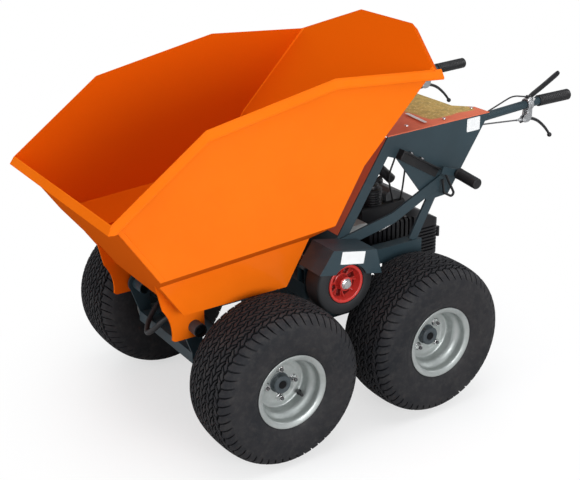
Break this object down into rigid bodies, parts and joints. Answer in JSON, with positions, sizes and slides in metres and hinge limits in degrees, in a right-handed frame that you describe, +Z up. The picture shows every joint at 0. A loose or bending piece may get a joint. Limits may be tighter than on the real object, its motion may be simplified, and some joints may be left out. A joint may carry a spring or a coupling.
{
  "type": "walk-behind site dumper",
  "caption": "Walk-behind powered barrow: hollow tipping skip hinged at the nose of a low wheeled chassis, friction-roller drive, rear console and handles.",
  "frame": {"origin": "on the ground, under the middle of the machine's bounding box", "axes": "+X forwards over the tipping lip, +Y to the left, +Z up"},
  "size_m": [1.7412, 1.001, 1.1772],
  "materials": {
    "skip_paint": "semi-gloss bright orange paint",
    "frame_paint": "satin dark slate paint",
    "cover_paint": "satin salmon paint",
    "zinc_steel": "zinc-plated pressed steel",
    "bright_steel": "turned steel",
    "dark_steel": "dark steel",
    "cast_iron": "painted castings",
    "cast_alloy": "cast aluminium",
    "tyre": "matt tyre rubber",
    "roller_tyre": "matt tyre rubber",
    "roller_red": "moulded red plastic",
    "rubber": "matt rubber",
    "grip_rubber": "ribbed grip rubber",
    "control_black": "black coated steel",
    "engine_black": "black engine covers",
    "cable_black": "cable sheath"
  },
  "bodies": {
    "chassis": {"low_rails": "frame_paint", "axle_tubes": "frame_paint", "axle_shafts": "bright_steel", "front_beam": "frame_paint", "pivot_uprights": "frame_paint", "pivot_tubes": "frame_paint", "frame_posts": "frame_paint", "rest_pads": "rubber", "deck_beams": "frame_paint", "deck_rails": "frame_paint", "shaft_bearings": "cast_iron", "engine_plate": "frame_paint", "roller_guards": "frame_paint", "console_plates": "frame_paint", "console_cover": "cover_paint", "struts": "frame_paint", "rear_posts": "frame_paint", "handle_tubes": "frame_paint", "grips": "grip_rubber", "grip_levers": "control_black", "lever_clamps": "cast_alloy", "engine_block": "engine_black", "fan_housing": "engine_black", "gearbox": "cast_iron", "console_shield": "cover_paint", "bow_cable": "cable_black", "fuel_tank": "engine_black", "air_filter": "engine_black", "muffler": "dark_steel", "latch_bracket": "control_black", "latch_rod": "control_black", "tip_grip": "grip_rubber", "tip_lever": "frame_paint", "top_lever": "control_black", "cables": "cable_black", "lever_rods": "dark_steel", "recoil_grip": "control_black", "shift_lever": "control_black"},
    "skip": {"skip_shell": "skip_paint", "skip_ears": "skip_paint"},
    "rollers": {"roller_shaft": "bright_steel", "roller_rims": "roller_red", "roller_tyres": "roller_tyre"},
    "wheel_front_left": {"rim_front_left": "zinc_steel", "tyre_front_left": "tyre", "hub_front_left": "cast_iron"},
    "wheel_front_right": {"rim_front_right": "zinc_steel", "tyre_front_right": "tyre", "hub_front_right": "cast_iron"},
    "wheel_rear_left": {"rim_rear_left": "zinc_steel", "tyre_rear_left": "tyre", "hub_rear_left": "cast_iron"},
    "wheel_rear_right": {"rim_rear_right": "zinc_steel", "tyre_rear_right": "tyre", "hub_rear_right": "cast_iron"}
  },
  "joints": [
    {"name": "skip_tip", "type": "hinge", "parent": "chassis", "child": "skip", "pos_m": [0.55, 0, 0.39018], "axis": [0, 1, 0], "range_deg": [0, 85]},
    {"name": "wheel_front_left_spin", "type": "hinge", "parent": "chassis", "child": "wheel_front_left", "pos_m": [0.39, 0.389, 0.25], "axis": [0, 1, 0], "continuous": true},
    {"name": "wheel_front_right_spin", "type": "hinge", "parent": "chassis", "child": "wheel_front_right", "pos_m": [0.39, -0.389, 0.25], "axis": [0, 1, 0], "continuous": true},
    {"name": "wheel_rear_left_spin", "type": "hinge", "parent": "chassis", "child": "wheel_rear_left", "pos_m": [-0.165, 0.389, 0.25], "axis": [0, 1, 0], "continuous": true},
    {"name": "wheel_rear_right_spin", "type": "hinge", "parent": "chassis", "child": "wheel_rear_right", "pos_m": [-0.165, -0.389, 0.25], "axis": [0, 1, 0], "continuous": true},
    {"name": "rollers_spin", "type": "hinge", "parent": "chassis", "child": "rollers", "pos_m": [0.1125, 0, 0.47618], "axis": [0, 1, 0], "continuous": true}
  ]
}
